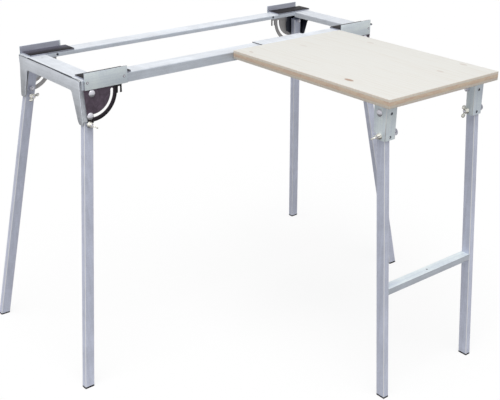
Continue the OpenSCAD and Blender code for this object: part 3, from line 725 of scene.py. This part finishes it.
def winged_nut(span, bore):
    """Cast nut with two rounded wings along X and its seat at the origin."""
    part = bmesh.new()
    hub, top = bore + 0.0048, 0.0108
    turned(part, [
        (bore, 0), (hub - 0.0004, 0), (hub, 0.0004), (hub, 0.0018), (hub - 0.0006, 0.0025),
        (hub - 0.0020, 0.0100), (hub - 0.0028, top), (bore + 0.0005, top), (bore, 0.0103),
        (bore, 0),
    ])
    ear, ear_rise, thickness = 0.0075, 0.0145, 0.0038
    reach = span / 2 - ear
    bend = [math.radians(-105 + 215 * step / 14) for step in range(15)]
    rim = [(reach + ear * math.cos(a), ear_rise + ear * math.sin(a)) for a in bend]
    lower, upper = [(0.003, 0.0030), (0.0075, 0.0042)], [(0.0074, 0.0160), (0.0058, 0.0125)]
    outline = [*lower, *rim, *upper, (0.003, top)]
    for way in (-1, 1):
        corners = [part.verts.new((way * x, -thickness / 2, z)) for x, z in outline]
        face = part.faces.new(corners)
        solid = bmesh.ops.extrude_face_region(part, geom=[face])["geom"]
        moved = [item for item in solid if isinstance(item, bmesh.types.BMVert)]
        bmesh.ops.translate(part, vec=(0, thickness, 0), verts=moved)
        far_face = next(item for item in solid if isinstance(item, bmesh.types.BMFace))
        edges = list(dict.fromkeys([*face.edges, *far_face.edges]))
        bmesh.ops.bevel(
            part, geom=edges, affect="EDGES", offset=0.0008, segments=2, profile=0.5, material=-1
        )
    return part


def low_rivet(radius, height):
    """Closed conical head of a rivet with a thin flange, on its seat at the origin."""
    part = bmesh.new()
    turned(part, [
        (0, height * 0.96), (radius * 0.3, height), (radius * 0.58, height * 0.98),
        (radius * 0.85, height * 0.25), (radius * 0.95, height * 0.22), (radius, height * 0.15),
        (radius, 0), (0, 0),
    ], 32)
    return part


def socket_screw(head, height, shank, length):
    """Screw with a recess in its head, drawn head down, seat at the origin."""
    part = bmesh.new()
    turned(part, [
        (0, -height * 0.45), (head * 0.36, -height * 0.45), (head * 0.4, -height),
        (head * 0.66, -height), (head * 0.97, -height * 0.2), (head, -height * 0.05),
        (head * 0.97, 0), (shank, 0), (shank, length * 0.6), (shank * 0.3, length), (0, length),
    ], 32)
    return part


def wood_finish(box):
    """Three layers of spruce: pale faces with grain and knots, brown layered edges."""
    look = bpy.context.scene.stand_finish
    sizes = bpy.context.scene.stand_sizes
    low, high = box
    half = (high.z - low.z) / 2
    f = Finish("spruce_board")
    swirl = f.noise(f.scaled(9.0, 2.2, 9.0), 1.0, 2.0, 0.5, 0.5)
    knots = rings = 0
    for x, y, size, strength in KNOTS:
        scale = (1 / size, KNOT_STRETCH / size, 0)
        place = f.node("ShaderNodeVectorMath", {"operation": "MULTIPLY"}, {0: f.place, 1: scale})
        far = f.distance(place, (x * scale[0], y * scale[1], 0))
        rings = rings + far.ramp(4.5, 0.9) * strength
        knots = (far.ramp(1.0, 0.75) * strength).larger(knots)
    lines = f.noise(f.scaled(150.0, 5.0, 150.0), 1.0, 5.0, 0.65)
    bands = ((f.axis(0) + (swirl - 0.5) * 0.09 + rings * 0.006) * 430.0).sine()
    grain = (0.42 + bands * 0.12 + (lines - 0.5) * 1.3 + (swirl - 0.5) * 0.8).ramp(0.3, 1.1)
    face = f.mix(grain * 0.8, look.wood_face, look.wood_grain)
    face = f.mix(rings.ramp(0.0, 1.2) * 0.25, face, look.wood_grain)
    face = f.mix(knots, face, look.knot)
    glue, soft = half - sizes.layer, 0.0006
    core = abs(f.axis(2) - (low.z + high.z) / 2).ramp(glue + soft, glue - soft)
    mottle = f.noise(f.scaled(30.0, 30.0, 160.0), 1.0, 5.0, 0.7, 0.8)
    ends = f.noise(f.scaled(420.0, 420.0, 60.0), 1.0, 3.0, 0.6)
    edge = f.shades(ends.spread(1.3), look.wood_edge, 0.82, 1.16)
    inner = f.shades(mottle.spread(2.2), look.wood_core, 0.78, 1.3)
    inner = f.mix(mottle.ramp(0.62, 0.7) * 0.5, inner, look.knot)
    side = f.mix(core, edge, inner)
    base = f.mix(abs(f.facing(2)).ramp(0.55, 0.9), side, face)
    f.bump(lines * 0.6 + ends * 0.4, 0.0003, 0.3)
    return f.surface(Base_Color=base, Roughness=0.62 + (lines - 0.5) * 0.2)


class StandOperator:
    """What all operators of the stand share."""

    bl_options = {"REGISTER", "UNDO"}


class STAND_OT_kept(StandOperator, bpy.types.Operator):
    """Give every CAD node its finish, for those that stay in view"""

    bl_idname = "stand.kept"
    bl_label = "Finish the kept pieces"

    def execute(self, context):
        for node, piece in frame["nodes"].items():
            piece.data.materials.clear()
            piece.data.materials.append(finish(node))
        return {"FINISHED"}


class STAND_OT_sheet(StandOperator, bpy.types.Operator):
    """Make the bent sheet pieces: aprons, nest brackets, table brackets and hook plate"""

    bl_idname = "stand.sheet"
    bl_label = "Make the bent sheet pieces"

    def execute(self, context):
        sizes = context.scene.stand_sizes
        for side in ("left", "right"):
            node = "apron_" + side
            low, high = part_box(node)
            folds = rising_folds(low.x if side == "left" else high.x, 0, SOCKET_FOLD)
            softened("apron_sheet_" + side, node, sizes.edge_break, sizes.fold, folds)
            node = "table_bracket_" + side
            folds = rising_folds(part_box(node)[0].y, 1)
            softened("bracket_sheet_" + side, node, sizes.edge_break, sizes.fold, folds)
            for end in ("near_", "far_"):
                node = "nest_bracket_" + end + side
                softened("nest_sheet_" + end + side, node, sizes.edge_break)
        softened("hook_sheet", "hook_plate", sizes.edge_break)
        return {"FINISHED"}


class STAND_OT_rubber(StandOperator, bpy.types.Operator):
    """Make the moulded foot plugs and the nests' mats"""

    bl_idname = "stand.rubber"
    bl_label = "Make the rubber pieces"

    def execute(self, context):
        sizes = context.scene.stand_sizes
        for node in frame["nodes"]:
            if node.startswith("foot_plugs"):
                softened(node.replace("foot_plugs", "moulded_feet"), node, sizes.plug_round)
            elif node.startswith("pad"):
                softened(node.replace("pad", "mat"), node, sizes.mat_round)
        return {"FINISHED"}


class STAND_OT_bolts(StandOperator, bpy.types.Operator):
    """Make the domed bolts with their threads"""

    bl_idname = "stand.bolts"
    bl_label = "Make the bolts"

    def execute(self, context):
        sizes = context.scene.stand_sizes
        for node in frame["nodes"]:
            if "_bolts" not in node:
                continue
            mesh = bmesh.new()
            axis, across = (X, Y) if node.startswith("table") else (Y, X)
            middle = sum(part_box(node), Vector()) / 2
            for low, high in solids(node):
                centre = (low + high) / 2
                outwards = (centre - middle).dot(axis) > 0
                way = 1 if outwards or "lock_bolts" in node else -1
                head = (high - low).dot(across) / 2
                length = (high - low).dot(axis) - sizes.head_height
                seat = centre + axis * way * ((high - low).dot(axis) / 2 - sizes.head_height)
                part = domed_bolt(length, head, sizes.head_height, sizes.shank)
                add_part(mesh, part, place_at(seat, axis * way, across))
            stand_piece(node.replace("bolts", "domed_bolts"), mesh, node)
        return {"FINISHED"}


class STAND_OT_nuts(StandOperator, bpy.types.Operator):
    """Make the hexagon nuts and the wing nuts"""

    bl_idname = "stand.nuts"
    bl_label = "Make the nuts"

    def execute(self, context):
        sizes = context.scene.stand_sizes
        bore = sizes.shank + BORE_PLAY
        for node, axis, across in (
            ("hinge_nuts_left", Y, X), ("hinge_nuts_right", Y, X), ("table_nuts", X, Y),
        ):
            mesh = bmesh.new()
            for low, high in solids(node):
                seat = (low + high) / 2 - axis * sizes.nut_height / 2
                part = chamfered_nut(sizes.nut_height, sizes.nut_flats, bore)
                add_part(mesh, part, place_at(seat, axis, across))
            stand_piece(node.replace("nuts", "hexagon_nuts"), mesh, node)
        for name, axis, turn in WING_NUTS:
            node = "wing_nut_" + name
            low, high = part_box(node)
            along = abs_of(axis)
            seat = Vector(joint_of("nut_" + name)["pos_m"])
            seat += along * ((low + high) / 2 - seat).dot(along)
            seat -= axis * (high - low).dot(along) / 2
            across = (Y if axis.x else X) * math.cos(turn) + Z * math.sin(turn)
            mesh = bmesh.new()
            add_part(mesh, winged_nut(sizes.wing_span, bore), place_at(seat, axis, across))
            stand_piece("cast_" + node, mesh, node)
        return {"FINISHED"}


class STAND_OT_small(StandOperator, bpy.types.Operator):
    """Make the nests' rivets and the wood screws under the board"""

    bl_idname = "stand.small"
    bl_label = "Make rivets and screws"

    def execute(self, context):
        sizes = context.scene.stand_sizes
        mesh = bmesh.new()
        for low, high in solids("frame_rivets"):
            centre = (low + high) / 2
            way = 1 if centre.y > MIDDLE_Y else -1
            top = high.y if way > 0 else low.y
            seat = Vector((centre.x, top - way * sizes.rivet_height, centre.z))
            part = low_rivet((high.x - low.x) / 2, sizes.rivet_height)
            add_part(mesh, part, place_at(seat, Y * way, X))
        stand_piece("rivet_heads", mesh, "frame_rivets")
        height = sizes.screw_height
        for node in ("hook_screws", "bracket_screws"):
            mesh = bmesh.new()
            for low, high in solids(node):
                centre = (low + high) / 2
                length = high.z - low.z - height
                part = socket_screw(sizes.screw_head, height, sizes.screw_shank, length)
                add_part(mesh, part, Matrix.Translation((centre.x, centre.y, low.z + height)))
            stand_piece(node.replace("screws", "wood_screws"), mesh, node)
        return {"FINISHED"}


class STAND_OT_board(StandOperator, bpy.types.Operator):
    """Make the three-layer wooden board of the side table"""

    bl_idname = "stand.board"
    bl_label = "Make the board"

    def execute(self, context):
        low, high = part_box("table_board")
        mesh = bmesh.new()
        bmesh.ops.create_cube(mesh, size=1.0)
        bmesh.ops.scale(mesh, vec=high - low, verts=mesh.verts)
        bmesh.ops.translate(mesh, vec=(high + low) / 2, verts=mesh.verts)
        bmesh.ops.bevel(
            mesh, geom=mesh.edges, affect="EDGES", offset=context.scene.stand_sizes.board_round,
            segments=3, profile=0.5, material=-1,
        )
        stand_piece("layered_board", mesh, "table_board", material=wood_finish((low, high)))
        return {"FINISHED"}


class STAND_OT_stage(StandOperator, bpy.types.Operator):
    """Set the camera, the pale floor and the soft light"""

    bl_idname = "stand.stage"
    bl_label = "Set the stage"

    def execute(self, context):
        scene = context.scene
        stage = scene.stand_stage
        level = Vector((math.sin(stage.heading), math.cos(stage.heading), 0))
        ahead = level * math.cos(stage.down) - Z * math.sin(stage.down)
        side = level.cross(Z)
        over = side.cross(ahead)
        right = side * math.cos(stage.roll) + over * math.sin(stage.roll)
        camera = bpy.data.objects.new("camera", bpy.data.cameras.new("camera"))
        camera.data.lens = stage.focal
        camera.data.shift_x = stage.shift
        camera.matrix_world = place_at(Vector(stage.place), -ahead, right)
        scene.collection.objects.link(camera)
        scene.camera = camera

        mesh = bmesh.new()
        bmesh.ops.create_grid(mesh, x_segments=1, y_segments=1, size=FLOOR_HALF)
        data = bpy.data.meshes.new("floor")
        mesh.to_mesh(data)
        mesh.free()
        floor = bpy.data.objects.new("floor", data)
        floor.location = -Z * FLOOR_DROP
        scene.collection.objects.link(floor)
        f = Finish("pale_floor")
        seen = f.node("ShaderNodeLightPath", out=0)
        speck = f.noise(f.place, 3.0, 2.0)
        base = f.mix(speck, shade_of(WHITE, 0.98), WHITE)
        base = f.mix(seen, shade_of(WHITE, stage.bounce), base)
        shader = f.node("ShaderNodeBsdfPrincipled", {}, {"Base Color": base, "Roughness": 0.9})
        white = f.node("ShaderNodeEmission", {}, {"Color": WHITE, "Strength": 1.0})
        shown = shown_to_eye(f) * FLOOR_WHITE
        both = f.node("ShaderNodeMixShader", {}, {0: shown, 1: shader, 2: white})
        f.node("ShaderNodeOutputMaterial", {}, {0: both})
        data.materials.append(f.material)

        world = bpy.data.worlds.new("studio")
        world.use_nodes = True
        scene.world = world
        w = Tree(world.node_tree)
        plain = w.node("ShaderNodeBackground", {}, {"Color": WHITE, "Strength": stage.ambient})
        bright = w.node("ShaderNodeBackground", {}, {"Color": WHITE, "Strength": 1.0})
        both = w.node("ShaderNodeMixShader", {}, {0: shown_to_eye(w), 1: plain, 2: bright})
        w.node("ShaderNodeOutputWorld", {}, {0: both})

        lamp = bpy.data.objects.new("key", bpy.data.lights.new("key", "SUN"))
        lamp.data.energy = stage.key
        lamp.data.angle = stage.key_width
        lamp.rotation_euler = KEY_WAY.to_track_quat("-Z", "Y").to_euler()
        scene.collection.objects.link(lamp)
        scene.view_settings.view_transform = "Standard"
        return {"FINISHED"}


class STAND_PT_panel(bpy.types.Panel):
    """Lists the stand's operators and values."""

    bl_idname = "STAND_PT_panel"
    bl_label = "Folding stand"
    bl_space_type = "VIEW_3D"
    bl_region_type = "UI"
    bl_category = "Stand"

    def draw(self, context):
        for operator in OPERATORS:
            self.layout.operator(operator.bl_idname)
        for name in ("stand_finish", "stand_sizes", "stand_stage"):
            group = getattr(context.scene, name)
            for key in group.__annotations__:
                self.layout.prop(group, key)


OPERATORS = (
    STAND_OT_stage, STAND_OT_kept, STAND_OT_sheet, STAND_OT_rubber, STAND_OT_bolts,
    STAND_OT_nuts, STAND_OT_small, STAND_OT_board,
)
GROUPS = {"stand_finish": StandFinish, "stand_sizes": StandSizes, "stand_stage": StandStage}


def register():
    for cls in (*GROUPS.values(), *OPERATORS, STAND_PT_panel):
        bpy.utils.register_class(cls)
    for name, group in GROUPS.items():
        setattr(bpy.types.Scene, name, PointerProperty(type=group))


def unregister():
    for name in GROUPS:
        delattr(bpy.types.Scene, name)
    for cls in (STAND_PT_panel, *reversed(OPERATORS), *GROUPS.values()):
        bpy.utils.unregister_class(cls)


def main():
    register()
    bpy.ops.stand.stage()
    bpy.ops.stand.kept()
    bpy.ops.stand.sheet()
    bpy.ops.stand.rubber()
    bpy.ops.stand.bolts()
    bpy.ops.stand.nuts()
    bpy.ops.stand.small()
    bpy.ops.stand.board()


if __name__ == "__main__":
    main()
